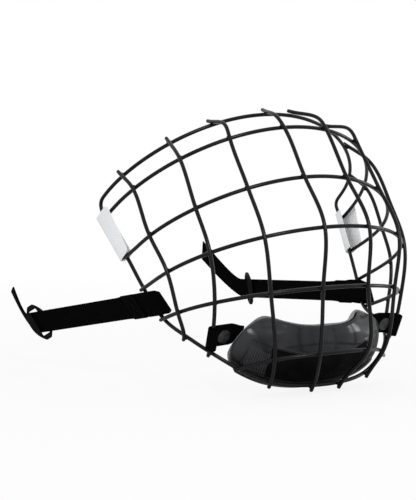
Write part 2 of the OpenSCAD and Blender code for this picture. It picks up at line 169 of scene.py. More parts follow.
def fit(piece, material, body, slot, *nodes):
    piece.data.materials.clear()
    piece.data.materials.append(material)
    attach(piece, body)
    if nodes:
        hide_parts(*nodes)


# Sheet formed from a plain grid: shape(across, along) gives a point in metres, and the
# UV map is laid out in millimetres of cloth or plastic
def formed_sheet(name, grid, shape, uv_size):
    let_go()
    bpy.ops.mesh.primitive_grid_add(x_subdivisions=grid[0], y_subdivisions=grid[1], size=1)
    piece = name_piece(name)
    for vertex in piece.data.vertices:
        vertex.co = shape(vertex.co.x + 0.5, vertex.co.y + 0.5)
    for corner in piece.data.uv_layers.active.data:
        corner.uv = (corner.uv[0] * uv_size[0], corner.uv[1] * uv_size[1])
    return piece


# Round bead or cord laid along points, made a mesh
def bead(name, points, radius, closed=False, resolution=3):
    curve = bpy.data.curves.new(name, "CURVE")
    curve.dimensions = "3D"
    curve.bevel_depth = radius * MM
    curve.bevel_resolution = resolution
    curve.use_fill_caps = True
    spline = curve.splines.new("POLY")
    spline.points.add(len(points) - 1)
    for point, place in zip(spline.points, points):
        point.co = (*place, 1)
    spline.use_cyclic_u = closed
    piece = bpy.data.objects.new(name, curve)
    bpy.context.scene.collection.objects.link(piece)
    take(piece)
    bpy.ops.object.convert(target="MESH")
    return name_piece(name)


# Camera, where the photograph was taken: places in metres, sensor and lens in millimetres

EYE_POINT = Vector((-0.491945, -0.646549, -0.041592))
IMAGE_RIGHT = Vector((0.82877295, -0.55949433, 0.010074))
IMAGE_DOWN = Vector((-0.02526413, -0.05539562, -0.9981448))
SIGHT = Vector((0.55901442, 0.82698091, -0.06004553))
SENSOR_WIDTH = 36
LENS_LENGTH = 105.785
CLIP_NEAR, CLIP_FAR = 0.01, 50

let_go()
bpy.ops.object.camera_add(location=EYE_POINT)
camera = bpy.context.object
camera.name = "photo_camera"
camera.rotation_euler = Matrix((IMAGE_RIGHT, -IMAGE_DOWN, -SIGHT)).transposed().to_euler()
camera.data.sensor_fit = "HORIZONTAL"
camera.data.sensor_width = SENSOR_WIDTH
camera.data.lens = LENS_LENGTH
camera.data.clip_start = CLIP_NEAR
camera.data.clip_end = CLIP_FAR
bpy.context.scene.camera = camera
bpy.context.scene.view_settings.view_transform = "Standard"


# Materials

# Colour sockets of Blender's Mix node
MIX_FIRST, MIX_SECOND, MIX_RESULT = 6, 7, 2
# Middle range of a noise, which is stretched over the whole range of a colour or gloss
NOISE_LOW, NOISE_HIGH = 0.3, 0.7
NOISE_ROUGHNESS = 0.55
# Blender's wave texture turns by this many radians in each unit of its scale
WAVE_RATE = 20
# The cup turns from near black to dark grey between these heights, in metres
CUP_DARK, CUP_GREY = -0.159, -0.147
# Ribs of a vent pad, with a painted highlight on their tops and painted shade in their grooves, and the
# width they fill
RIBS, PAD_WIDTH = 10, 24
RIB_SCALE = 2 * pi * RIBS / PAD_WIDTH / WAVE_RATE


class Bench:
    """A node tree, built step by step."""

    def __init__(self, tree):
        self.tree = tree

    def node(self, kind, inputs=(), **settings):
        node = self.tree.nodes.new("ShaderNode" + kind)
        for key, value in settings.items():
            setattr(node, key, value)
        for key, value in dict(inputs).items():
            if isinstance(value, bpy.types.NodeSocket):
                self.tree.links.new(value, node.inputs[key])
            else:
                node.inputs[key].default_value = value
        return node

    def spread(self, fac, low=NOISE_LOW, high=NOISE_HIGH, to_low=0.0, to_high=1.0):
        inputs = {"Value": fac, "From Min": low, "From Max": high, "To Min": to_low, "To Max": to_high}
        return self.node("MapRange", inputs).outputs["Result"]

    def reckon(self, operation, first, second):
        return self.node("Math", {0: first, 1: second}, operation=operation).outputs[0]


class Paint(Bench):
    """A material's node tree."""

    def __init__(self, name, color, roughness, **sockets):
        self.material = bpy.data.materials.new(name)
        self.material.use_nodes = True
        super().__init__(self.material.node_tree)
        self.coordinate = self.tree.nodes.new("ShaderNodeTexCoord")
        self.shader = self.tree.nodes["Principled BSDF"]
        self.shader.inputs["Base Color"].default_value = (*color, 1)
        self.shader.inputs["Roughness"].default_value = roughness
        for socket, value in sockets.items():
            self.shader.inputs[socket.replace("_", " ")].default_value = value
        self.heights = []

    def place(self, space="Object", turn=(0, 0, 0)):
        mapping = self.node("Mapping", {"Vector": self.coordinate.outputs[space], "Rotation": turn})
        return mapping.outputs["Vector"]

    def noise(self, scale, detail, where=None):
        where = where or self.coordinate.outputs["Object"]
        inputs = {"Vector": where, "Scale": scale, "Detail": detail, "Roughness": NOISE_ROUGHNESS}
        return self.node("TexNoise", inputs).outputs["Fac"]

    def wave(self, where, scale, direction="X", distortion=0.0, detail_scale=1.0):
        inputs = {"Vector": where, "Scale": scale, "Distortion": distortion, "Detail Scale": detail_scale}
        return self.node("TexWave", inputs, bands_direction=direction).outputs["Fac"]

    def blend(self, fac, first, second):
        inputs = {"Factor": fac, MIX_FIRST: first, MIX_SECOND: second}
        return self.node("Mix", inputs, data_type="RGBA").outputs[MIX_RESULT]

    def tint(self, fac, first, second):
        return self.blend(fac, (*first, 1), (*second, 1))

    def color(self, socket):
        self.tree.links.new(socket, self.shader.inputs["Base Color"])

    def gloss(self, fac, to_low, to_high, low=NOISE_LOW, high=NOISE_HIGH):
        self.tree.links.new(self.spread(fac, low, high, to_low, to_high), self.shader.inputs["Roughness"])

    def bump(self, height, distance, strength):
        inputs = {"Height": height, "Distance": distance, "Strength": strength}
        if self.heights:
            inputs["Normal"] = self.heights[-1]
        self.heights.append(self.node("Bump", inputs).outputs["Normal"])
        self.tree.links.new(self.heights[-1], self.shader.inputs["Normal"])


def coated_wire():
    paint = Paint("black_coated_wire", (0.003, 0.003, 0.0035), 0.2, Specular_IOR_Level=0.2)
    patches = paint.spread(paint.noise(90, 2), 0.35)
    paint.color(paint.tint(patches, (0.0015, 0.0015, 0.0018), (0.003, 0.003, 0.0035)))
    paint.gloss(paint.noise(260, 3), 0.17, 0.24)
    return paint.material


def weld_metal():
    paint = Paint("coated_weld_beads", (0.003, 0.003, 0.004), 0.22, Specular_IOR_Level=0.09)
    grain = paint.spread(paint.noise(700, 3))
    paint.color(paint.tint(grain, (0.003, 0.003, 0.0035), (0.008, 0.008, 0.009)))
    paint.gloss(paint.noise(500, 2), 0.2, 0.34)
    paint.bump(paint.noise(1400, 3), 0.0003, 0.5)
    return paint.material


def black_webbing():
    paint = Paint("black_webbing", (0.012, 0.012, 0.013), 0.8, Specular_IOR_Level=0.01)
    cloth = paint.place("UV")
    ribs = paint.wave(cloth, 0.34, "X", 0.15, 2.0)
    picks = paint.wave(cloth, 0.52, "Y", 0.3, 2.0)
    yarns = paint.reckon("MULTIPLY", ribs, picks)
    fuzz = paint.noise(5, 4, cloth)
    worn = paint.spread(fuzz, high=0.75)
    dark = paint.tint(yarns, (0.001, 0.001, 0.0012), (0.0045, 0.0045, 0.005))
    pale = paint.tint(yarns, (0.0015, 0.0015, 0.0018), (0.0075, 0.0075, 0.0085))
    paint.color(paint.blend(worn, dark, pale))
    paint.gloss(yarns, 0.95, 0.68, 0.0, 1.0)
    paint.bump(yarns, 0.00022, 0.8)
    paint.bump(fuzz, 0.00008, 0.5)
    return paint.material


def thread():
    paint = Paint("black_thread", (0.006, 0.006, 0.007), 0.6, Specular_IOR_Level=0.02)
    twist = paint.wave(paint.place(turn=(0.4, 0.6, 0.3)), 900, "DIAGONAL", 0.5)
    paint.color(paint.tint(twist, (0.003, 0.003, 0.0035), (0.012, 0.012, 0.013)))
    paint.bump(twist, 0.0001, 0.6)
    return paint.material


def label_vinyl():
    paint = Paint("white_label_vinyl", (0.87, 0.88, 0.89), 0.5, Specular_IOR_Level=0.0)
    creases = paint.noise(30, 3)
    paint.color(paint.tint(paint.spread(creases, high=0.75), (0.89, 0.9, 0.91), (0.83, 0.845, 0.86)))
    paint.gloss(paint.noise(60, 2), 0.48, 0.6)
    paint.bump(creases, 0.0012, 0.15)
    return paint.material


def cup_gloss():
    paint = Paint("dark_gloss_cup_plastic", (0.012, 0.0125, 0.014), 0.12, Specular_IOR_Level=0.15)
    flow = paint.noise(38, 3)
    grain = paint.noise(1300, 2)
    height = paint.node("SeparateXYZ", {0: paint.coordinate.outputs["Object"]}).outputs[2]
    low = paint.tint(flow, (0.003, 0.003, 0.0035), (0.006, 0.0062, 0.007))
    high = paint.tint(paint.spread(flow, 0.32), (0.016, 0.0165, 0.018), (0.04, 0.041, 0.044))
    paint.color(paint.blend(paint.spread(height, CUP_DARK, CUP_GREY), low, high))
    paint.gloss(paint.noise(160, 3), 0.12, 0.18)
    paint.bump(grain, 0.00004, 0.35)
    paint.bump(flow, 0.0006, 0.12)
    return paint.material


def band_rubber():
    paint = Paint("matte_black_band", (0.003, 0.003, 0.0035), 0.5, Specular_IOR_Level=0.02)
    grain = paint.noise(2200, 3)
    wear = paint.spread(paint.noise(120, 3))
    paint.color(paint.tint(wear, (0.002, 0.002, 0.0023), (0.005, 0.005, 0.0056)))
    paint.gloss(grain, 0.52, 0.7)
    paint.bump(grain, 0.00008, 0.6)
    return paint.material


def vent_rubber():
    paint = Paint("matte_black_vent_pad", (0.004, 0.004, 0.0045), 0.4, Specular_IOR_Level=0.08)
    grain = paint.noise(1800, 3)
    ribs = paint.wave(paint.place("UV"), RIB_SCALE)
    # Painted shade in the grooves and a painted highlight on the rib tops, lined up with the moulded ribs
    shaded_grooves = paint.tint(grain, (0.0015, 0.0015, 0.0018), (0.003, 0.003, 0.0035))
    lit_rib_tops = paint.tint(grain, (0.03, 0.03, 0.032), (0.055, 0.056, 0.06))
    paint.color(paint.blend(ribs, shaded_grooves, lit_rib_tops))
    paint.gloss(paint.noise(300, 2), 0.3, 0.42)
    paint.bump(grain, 0.00006, 0.5)
    return paint.material


def grey_foam():
    paint = Paint("grey_foam_liner", (0.3, 0.305, 0.315), 0.78, Specular_IOR_Level=0.3,
                  Sheen_Weight=0.25, Sheen_Roughness=0.5)
    cloth = paint.place("UV")
    columns = paint.wave(cloth, 0.5, "X", 1.2, 2.0)
    rows = paint.wave(cloth, 0.62, "Y", 1.0, 2.0)
    knit = paint.reckon("MULTIPLY", columns, rows)
    pores = paint.noise(1.7, 3, cloth)
    dark = paint.tint(knit, (0.2, 0.204, 0.212), (0.33, 0.335, 0.345))
    pale = paint.tint(knit, (0.26, 0.265, 0.275), (0.39, 0.395, 0.405))
    paint.color(paint.blend(paint.spread(pores), dark, pale))
    paint.gloss(pores, 0.7, 0.88)
    paint.bump(knit, 0.00014, 0.6)
    paint.bump(paint.noise(70, 3), 0.0009, 0.3)
    return paint.material


def snap_steel():
    paint = Paint("dull_steel_snap", (0.05, 0.05, 0.055), 0.34, Metallic=1.0)
    turned = paint.noise(420, 4)
    paint.color(paint.tint(paint.spread(turned), (0.03, 0.031, 0.033), (0.075, 0.077, 0.08)))
    paint.gloss(turned, 0.26, 0.44)
    paint.bump(paint.noise(1600, 2), 0.00006, 0.5)
    return paint.material


def slider_plastic():
    paint = Paint("black_slider_plastic", (0.005, 0.005, 0.0055), 0.4, Specular_IOR_Level=0.05)
    grain = paint.noise(1500, 3)
    wear = paint.spread(paint.noise(150, 3))
    paint.color(paint.tint(wear, (0.0025, 0.0025, 0.003), (0.006, 0.006, 0.007)))
    paint.gloss(grain, 0.36, 0.5)
    paint.bump(grain, 0.00005, 0.5)
    return paint.material


WIRE, WELD, WEBBING, THREAD = coated_wire(), weld_metal(), black_webbing(), thread()
LABEL, CUP, BAND, VENT = label_vinyl(), cup_gloss(), band_rubber(), vent_rubber()
FOAM, SNAP, SLIDER = grey_foam(), snap_steel(), slider_plastic()


# Wires

WIRES = ["rim_wire", "forehead_wire", "eye_wire", "nose_wire", "mouth_wire", "chin_wire"] + [
    side + "_" + bar + "_bar" for side in SIDES for bar in ("temple", "cheek", "eye", "nose")]
WIRE_D = 2.5
# The coat makes up for what the smoothing takes off an eight-sided bar
WIRE_GROW = 0.136
WIRE_SMOOTHING = 2
TIP_ROUND, TIP_ANGLE = 0.45, 60


def round_tips(wire):
    take(wire)
    bpy.ops.object.mode_set(mode="EDIT")
    bpy.ops.mesh.select_all(action="DESELECT")
    bpy.ops.mesh.select_mode(type="EDGE")
    bpy.ops.mesh.edges_select_sharp(sharpness=radians(TIP_ANGLE))
    bpy.ops.mesh.bevel(offset=TIP_ROUND * MM, segments=2, affect="EDGES")
    bpy.ops.object.mode_set(mode="OBJECT")


def make_wire(node):
    wire = copy_of(node, node + "_coated")
    round_tips(wire)
    swell = wire.modifiers.new("coat", "DISPLACE")
    swell.strength = WIRE_GROW * MM
    swell.mid_level = 0
    apply_modifiers(wire)
    subdivide_smooth(wire, WIRE_SMOOTHING)
    shade(wire)
    fit(wire, WIRE, "cage", "wire_coating", node)


for node in WIRES:
    make_wire(node)


# Welds: the cross bars' curves again, so that each bead sits where two wires meet

# Distance between the middles of two wires that cross
CROSS_OVER = 2.25
CAGE_CORE = Vector((0, 20, -90))
# Half width, plan depth, front Y, front Z, slope and curl of its fall
CROSS_BARS = [
    (100.5, 56, 0, 0, 1.24, 0.0043), (102, 76.5, -27, -9, 0.84, 0.0008),
    (96, 62.5, -48.5, -40.5, 0.82, 0.0021), (91.5, 72, -71, -71, 0.487, 0.0002),
    (85.5, 64, -70.5, -108.5, 0.27, -0.0005),
]
LAST_BAR = len(CROSS_BARS) - 1
# Where each upright crosses those bars, in degrees from the middle
UPRIGHT_TURNS = {
    "nose": (6.5, 9.5, 10, 11, 12), "eye": (29, 30, 33, 35.5, 35),
    "cheek": (47, 49, 55, 58, 60.5), "temple": (72, 70, 81, 81, 83),
}
# The nose and eye bars bend down in front of the brow, and aren't welded to it
CLEAR_OF_BROW = ("nose", "eye")
JAW = {
    "nose": (11, -52, -172), "eye": (39, -46, -168.5),
    "cheek": (72, -29, -149.5), "temple": (80, -14.5, -141),
}
CHIN = {"nose": (18.5, -69, -149.5), "eye": (43, -56, -153)}
WELD_R, WELD_FLAT, WELD_SEGMENTS, WELD_RINGS = 1.72, 1.05, 14, 8


def bar_z(bar, y):
    return bar[3] - bar[4] * (y - bar[2]) + bar[5] * (y - bar[2]) ** 2


def bar_at(bar, turn):
    y = bar[2] + bar[1] * (1 - cos(radians(turn)))
    return Vector((bar[0] * sin(radians(turn)), y, bar_z(bar, y)))


def outward(at, run, rise):
    out = run.cross(rise).normalized()
    return out if out.dot(at - CAGE_CORE) > 0 else -out


# Spots on the cross bars, each with the way out of the cage
def cross_spots():
    spots = []
    for upright, turns in UPRIGHT_TURNS.items():
        for number, bar in enumerate(CROSS_BARS):
            if number == 0 and upright in CLEAR_OF_BROW:
                continue
            at = bar_at(bar, turns[number])
            run = bar_at(bar, turns[number] + 1) - at
            low, high = min(number + 1, LAST_BAR), max(number - 1, 0)
            rise = bar_at(CROSS_BARS[low], turns[low]) - bar_at(CROSS_BARS[high], turns[high])
            spots.append((at, outward(at, run, rise)))
    return spots


# Spots on the jaw and on the chin wire
def jaw_spots():
    spots = []
    order = list(JAW)
    for number, upright in enumerate(order):
        at = Vector(JAW[upright])
        inner = Vector(JAW[order[max(number - 1, 0)]])
        outer = Vector(JAW[order[min(number + 1, len(order) - 1)]])
        mouth = bar_at(CROSS_BARS[LAST_BAR], UPRIGHT_TURNS[upright][LAST_BAR])
        above = Vector(CHIN[upright]) if upright in CHIN else mouth
        spots.append((at, outward(at, outer - inner, at - above)))
        if upright in CHIN:
            chin_run = Vector(CHIN["eye"]) - Vector(CHIN["nose"])
            spots.append((above, outward(above, chin_run, at - mouth)))
    return spots


def weld_bead(at, out, way):
    let_go()
    bpy.ops.mesh.primitive_uv_sphere_add(segments=WELD_SEGMENTS, ring_count=WELD_RINGS, radius=1)
    bump = bpy.context.object
    bump.scale = (WELD_R * MM, WELD_R * MM, WELD_FLAT * MM)
    bump.rotation_euler = Vector((out.x * way, out.y, out.z)).to_track_quat("Z", "Y").to_euler()
    bump.location = Vector((at.x * way, at.y, at.z)) * MM
    settle(bump)
    return bump


def make_welds():
    spots = [(at + out * CROSS_OVER / 2, out) for at, out in cross_spots() + jaw_spots()]
    welds = join([weld_bead(at, out, way) for at, out in spots for way in (1, -1)], "weld_beads")
    shade(welds)
    fit(welds, WELD, "cage", "wire_coating")


make_welds()


# Labels

LABEL_EDGE, LABEL_ANGLE, LABEL_SHADE = 0.14, 50, 35

for side in SIDES:
    label = copy_of(side + "_label", side + "_label_sheet")
    round_edges(label, LABEL_EDGE, segments=2, angle=LABEL_ANGLE)
    shade(label, LABEL_SHADE)
    fit(label, LABEL, "cage", "label_sheet", side + "_label")


# Straps

STRAP_AT = (86.5748, 15.3927, -122.798)
STRAP_TILT, STRAP_TURN, STRAP_SPIN = 139.095, -112.479, -17.3667
STRAP_W, STRAP_T, STRAP_RAKE = 15, 1.3, 29.5
# The rise and the half height at this rake are given as numbers: with other last digits the sliders' beads
# come out with slightly different faces
STRAP_RISE, STRAP_HALF = -0.565773, 8.61717
LOOP_GAP, LOOP_NOSE, LOOP_MOUTH, LAYERS_MEET = 0.8, 6, 4, 8
LOOP_R = WIRE_D / 2 + LOOP_GAP + STRAP_T / 2
LOOP_SPREAD, LOOP_DRAW_IN, SPREAD_END = 0.6, 1.9, 8
PATCH_LEN, PATCH_T, PATCH_EXTRA, PATCH_FROM = 10, 1, 1.5, LAYERS_MEET + 0.5
PATCH_HALF = (STRAP_W + PATCH_EXTRA) / cos(radians(STRAP_RAKE)) / 2
PATCH_EDGE, PATCH_GRID = 0.35, (12, 10)
LAYER_GAP, LAP_SHORT = 0.1, 2
LAYER_Y = STRAP_T / 2 + LAYER_GAP
STRAP_LAP = LAYERS_MEET + PATCH_LEN - LAP_SHORT
TAIL_GAP, TAIL_BEND, TAIL_LATE, TAIL_STEPS = 4, 8, 1.5, 24
SWING = {"right": 8, "left": -26}
SLIDER_AT = {"right": 97, "left": 90}
TAIL = {"right": (13.7, -11, -37.6), "left": (22.9, -15.4, -41.9)}
TWIST = {"right": (0.825, -0.52, -0.23), "left": (0.6, 0.58, 0.55)}
# Bands of cloth: step between stations, points across, edge round as a share of the thickness
STATION_STEP, BAND_ACROSS, BAND_ROUND, SHARP = 1.2, 10, 0.3, 50
STITCH_PITCH, STITCH_LEN, THREAD_R = 2.2, 1.5, 0.2
# Share of the stitch's length and height over the cloth
STITCH_ARCH = [(-0.5, -0.12), (-0.3, 0.1), (0, 0.17), (0.3, 0.1), (0.5, -0.12)]
SEAM_IN_ACROSS, SEAM_IN_ALONG = 1.6, 1.2


def ease(x, low, high):
    s = min(1, max(0, (x - low) / (high - low)))
    return s * s * (3 - 2 * s)


# Way from a wire's own axes to the part's frame in metres, mirrored for the right side
def line_place(at, tilt, turn, spin, side):
    bend = (Matrix.Rotation(radians(turn), 3, "Z") @ Matrix.Rotation(radians(tilt), 3, "Y")
            @ Matrix.Rotation(radians(spin), 3, "Z"))

    def place(p):
        q = Vector(at) + bend @ Vector(p)
        return Vector((q.x * SIDES[side], q.y, q.z)) * MM
    return place


def strap_place(side):
    return line_place(STRAP_AT, STRAP_TILT, STRAP_TURN, STRAP_SPIN + SWING[side], side)


def dense(path):
    out = [Vector(path[0])]
    for a, b in zip(path, path[1:]):
        a, b = Vector(a), Vector(b)
        count = max(1, round((b - a).length / STATION_STEP))
        out += [a.lerp(b, i / count) for i in range(1, count + 1)]
    return out


def rounded(path, passes=2):
    for _ in range(passes):
        path = [path[0]] + [(a + 2 * b + c) / 4 for a, b, c in zip(path, path[1:], path[2:])] + [path[-1]]
    return path


# Stations of a band, each its middle and half its width, along a path that climbs by
# "rise" in Z for each step in X
def flat_stations(path, width_at, rise):
    path = rounded(dense([(x, y, 0) for x, y in path]))
    return [(Vector((p.x, p.y, rise * p.x)), Vector((0, 0, width_at(p)))) for p in path]


def tail_stations(x, reach, twist):
    root = Vector((x, LAYER_Y, STRAP_RISE * x))
    run = Vector((1, 0, STRAP_RISE)).normalized()
    start, bend = root + TAIL_LATE * run, root + (TAIL_LATE + TAIL_BEND) * run
    tip = root + Vector(reach)
    stations = []
    for i in range(1, TAIL_STEPS + 1):
        s = i / TAIL_STEPS
        at = (1 - s) ** 2 * start + 2 * s * (1 - s) * bend + s * s * tip
        wide = (1 - s) * Vector((0, 0, STRAP_HALF)) + s * STRAP_W / 2 * Vector(twist).normalized()
        stations.append((at, wide))
    return stations


# Half width of the strap: spread round the loop, drawn in at its nose
def strap_half(p):
    nose = 1 - ease(p.x, -LOOP_NOSE - LOOP_R, -LOOP_NOSE + LOOP_DRAW_IN)
    spread = LOOP_SPREAD * (1 - ease(p.x, STRAP_LAP, STRAP_LAP + SPREAD_END))
    return STRAP_HALF + spread - LOOP_DRAW_IN * nose


def strap_loop():
    back = [(STRAP_LAP, -LAYER_Y), (LAYERS_MEET, -LAYER_Y), (LOOP_MOUTH, -LOOP_R)]
    turn = [(-LOOP_NOSE + LOOP_R * cos(radians(t)), LOOP_R * sin(radians(t))) for t in range(270, 89, -12)]
    return back + turn + [(LOOP_MOUTH, LOOP_R), (LAYERS_MEET, LAYER_Y)]


# Band of cloth over stations, with a UV map that follows their distances
def woven_band(name, stations, thick, width, place):
    lengths = [0.0]
    for a, b in zip(stations, stations[1:]):
        lengths.append(lengths[-1] + (b[0] - a[0]).length)
    last = len(stations) - 1

    def shape(across, along):
        centre, wide = stations[round(along * last)]
        return place(centre + wide * (2 * across - 1))
    piece = formed_sheet(name, (BAND_ACROSS, last), shape, (width, lengths[-1]))
    for corner in piece.data.uv_layers.active.data:
        along = corner.uv[1] / lengths[-1]
        corner.uv = (corner.uv[0], lengths[round(along * last)])
    thicken(piece, thick)
    face_out(piece)
    round_edges(piece, thick * BAND_ROUND, segments=2, angle=SHARP)
    shade(piece, SHARP)
    return piece


def stitch_row(at, to, out, place):
    count = max(1, int((to - at).length / STITCH_PITCH))
    go = (to - at) / count
    return [[place(at + go * (i + 0.5) + go.normalized() * STITCH_LEN * share + out * lift)
             for share, lift in STITCH_ARCH] for i in range(count)]


def make_strap(side, place):
    reach = SLIDER_AT[side] + TAIL_GAP
    stations = flat_stations(strap_loop() + [(reach, LAYER_Y)], strap_half, STRAP_RISE)
    stations += tail_stations(reach, TAIL[side], TWIST[side])
    strap = woven_band(side + "_strap_webbing", stations, STRAP_T, STRAP_W, place)
    fit(strap, WEBBING, side + "_side_strap", "webbing", side + "_strap")


def on_patch(x, across):
    return Vector((x, LAYER_Y + STRAP_T / 2 + PATCH_T / 2, STRAP_RISE * x + across))


def make_patch(side, place):
    def shape(across, along):
        return place(on_patch(PATCH_FROM + PATCH_LEN * along, PATCH_HALF * (2 * across - 1)))
    patch = formed_sheet(side + "_strap_sewn_patch", PATCH_GRID, shape, (STRAP_W + PATCH_EXTRA, PATCH_LEN))
    thicken(patch, PATCH_T)
    face_out(patch)
    round_edges(patch, PATCH_EDGE, segments=3, angle=SHARP)
    shade(patch, SHARP)
    fit(patch, WEBBING, side + "_side_strap", "webbing", side + "_strap_patch")


# Stitches round the patch's edge and over both its diagonals
def make_stitching(side, place):
    out = Vector((0, 1, 0))
    edge = PATCH_HALF - SEAM_IN_ACROSS
    start, end = PATCH_FROM + SEAM_IN_ALONG, PATCH_FROM + PATCH_LEN - SEAM_IN_ALONG
    corners = [on_patch(x, across) + out * PATCH_T / 2
               for x, across in ((start, -edge), (end, -edge), (end, edge), (start, edge))]
    seams = list(zip(corners, corners[1:] + corners[:1]))
    seams += [(corners[0], corners[2]), (corners[1], corners[3])]
    stitches = [path for at, to in seams for path in stitch_row(at, to, out, place)]
    stitching = join([bead("stitch", path, THREAD_R, resolution=1) for path in stitches],
                     side + "_strap_stitching")
    shade(stitching)
    fit(stitching, THREAD, side + "_side_strap", "webbing")


for side in SIDES:
    for make in (make_strap, make_patch, make_stitching):
        make(side, strap_place(side))


# Sliders

SLIDER_T, SLIDER_TILT = 2.4, 45
SLIDER_COS, SLIDER_SIN = cos(radians(SLIDER_TILT)), sin(radians(SLIDER_TILT))
SLOT_W, SLOT_LEN = 5.03848, 21.0102
SLIDER_EDGE, SLIDER_SHARP, SLIDER_SHADE = 0.55, 45, 40
LIP_R, LIP_OFF, LIP_SHORT, LIP_STEPS = 0.38, 0.1, 0.5, 12
# Grip ribs: how far the leaf bulges, how it falls off towards its tips, and the margins
RIB_R, RIB_PITCH, RIB_ROWS, RIB_MIN = 0.3, 1.5, 6, 1
LEAF_BULGE, LEAF_FALL, LEAF_MARGIN, RIB_OFF = 7, 0.032, 0.9, 0.7


def slider_beads(on_slider):
    near, half = SLOT_W / 2 + LIP_R + LIP_OFF, SLOT_LEN / 2 - LIP_SHORT
    beads = []
    for face in (-SLIDER_T / 2, SLIDER_T / 2):
        for way in (-1, 1):
            lip = [on_slider(way * near, face, half * i / LIP_STEPS)
                   for i in range(-LIP_STEPS, LIP_STEPS + 1)]
            beads.append(bead("slot_lip", lip, LIP_R, resolution=2))
            for row in range(-RIB_ROWS, RIB_ROWS + 1):
                height = row * RIB_PITCH
                far = LEAF_BULGE - LEAF_FALL * height ** 2 - LEAF_MARGIN
                if far - near > RIB_MIN:
                    across = (near + RIB_OFF, (near + far) / 2, far)
                    rib = [on_slider(way * at, face, height) for at in across]
                    beads.append(bead("grip_rib", rib, RIB_R, resolution=1))
    return beads


def make_slider(side):
    place = strap_place(side)

    def on_slider(x, y, z):
        return place((SLIDER_AT[side] + x * SLIDER_COS - y * SLIDER_SIN,
                      LAYER_Y + x * SLIDER_SIN + y * SLIDER_COS, STRAP_RISE * SLIDER_AT[side] + z))
    slider = copy_of(side + "_slider", side + "_slider_moulding")
    round_edges(slider, SLIDER_EDGE, segments=3, angle=SLIDER_SHARP)
    shade(slider, SLIDER_SHADE)
    slider = join([slider] + slider_beads(on_slider), side + "_slider_moulding")
    fit(slider, SLIDER, side + "_strap_slider", "slider_plastic", side + "_slider")


for side in SIDES:
    make_slider(side)


# Chin cup
# A place on the cup has two numbers: u counts the rails' points from the middle to the
# side, and v counts the rails from the top rim to the bottom lip.

CUP_FRONT = Vector((0, -55.9, -132))
CUP_RAILS = [
    [(0, 1, 0), (14, 2.5, -0.5), (28, 8, 0.5), (40, 17, 3.5), (52, 19, 2), (59, 21, -3)],
    [(0, 0, -10), (14, 1, -9.5), (28, 5, -7.5), (41, 11.5, -4), (54, 17, -4), (61.5, 23, -8.5)],
    [(0, 1.3, -22), (14, 2, -21.5), (28, 5, -18), (41, 9, -13.5), (54, 15.5, -10), (62.5, 24.5, -15)],
    [(0, 6, -34), (14, 7, -33.5), (28, 9, -31.5), (42, 12.5, -28.5), (55, 19, -24.5), (61.5, 26, -23)],
    [(0, 19, -44), (14, 19, -43.5), (28, 19.5, -41.5), (41, 20, -38), (51, 22, -33.5), (58, 25, -29)],
]
CUP_HEART = Vector((0, 30, -15))
CUP_HALF_WIDTH = CUP_RAILS[2][-1][0]
CUP_SHELL, CUP_FOAM, CUP_RECESS = 2.2, 4.5, 1.2
CUP_UV_SIZE, BAND_UV_SIZE, PAD_UV_SIZE = (150, 50), (80, 18), (PAD_WIDTH, 18)
# Faces across and along each sheet
SHELL_GRID, LINER_GRID, BAND_GRID, PAD_GRID = (160, 110), (110, 64), (80, 48), (RIBS * 10, 30)
# Distance between rails' points and between rails, and the number of the last rail
CELL_W, CELL_H, LAST_ROW = 12, 11, 4
SHELL_SIDE, LINER_SIDE = 4.68, 4.97
# Lines on the cup, each v for a u, or u for a v
SHELL_TOP = [
    (0, 0.3), (1.3, 0.2), (2.2, 0.05), (2.7, 0.04), (3, 0.14),
    (3.54, 0.48), (4.03, 1.1), (4.58, 1.95), (4.68, 2.3),
]
LINER_TOP = [
    (0, 0.05), (1.3, -0.02), (2.2, -0.17), (2.9, -0.19), (3.32, -0.04),
    (3.78, 0.38), (4.33, 1.08), (4.7, 1.64), (4.87, 2.1), (4.97, 2.5),
]
BAND_TOP = [(0, 1.92), (1.3, 1.95), (2.5, 1.98), (2.8, 2.03), (3.2, 1.91), (3.65, 1.81), (4, 1.78)]
VENT_SIDE = [(1.8, 3.65), (2.33, 3.85), (2.83, 3.95), (3.5, 4)]
BAND_FOOT, VENT_START = 3.5, 2.86
# Steps down into the recess: the two shares of the sheet between which each lies, and
# how far it starts before and ends behind its line
SEAM_STEP, FOOT_STEP = (0.42, 0.45, 0.03, 0.04), (0.86, 0.89, 0.03, 0.05)
SIDE_STEP = (0.78, 0.81, 0.04, 0.05)
# Ridges along the recess: distance from its line, half width, and where they run out
TOP_RIDGE, FOOT_RIDGE, RIDGE_RISE = (-0.08, 0.06, 2.4, 2.9), (0.12, 0.08, 4, 4.2), 0.8
RIM_DROP, RIM_RUN = 0.9, 1.8
SHELL_SKIN, BINDING_R = 0.95, 0.65
# Points along the binding: on the top rim for each unit of u, and on the sides and lip
TOP_POINTS, TOP_END, SIDE_POINTS, LIP_POINTS = 20, 93, 20, 50
# The foam is a closed pad, drawn together at a rounded rim that leans out
LINER_T, LINER_ROUND, RIM_LEAN = CUP_FOAM - 0.4, 2.6, 2.2
LINER_MIDDLE = CUP_SHELL + 0.15 + LINER_T / 2
LINER_FOOT = LAST_ROW + 0.1
# How far the band and the pads stay inside the recess
INSET, BAND_SHORT, PAD_INSET = 0.06, 0.99, 0.02
BAND_T, BAND_SEAT, BAND_CROWN, BAND_LIP, LIP_WIDTH = 0.6, 0.5, 0.2, 0.3, 0.05
PAD_T, PAD_SEAT, RIB_DEPTH = 0.4, 0.75, 0.55
# Bar over the ribs: its share of the pad's height, half width and rise
PAD_BAR_AT, PAD_BAR_HALF, PAD_BAR_RISE = 0.08, 0.07, 0.6
# Shares of the pad between which the ribs begin and end, down and across
RIBS_DOWN, RIBS_ACROSS = (0.17, 0.22, 0.88, 0.93), (0.02, 0.06, 0.94, 0.98)
PAD_SHARP = 60


def chord(p, i):
    return (p[i + 1] - p[i]).length


def slope(p, i):
    return (p[i + 1] - p[i]) / chord(p, i)


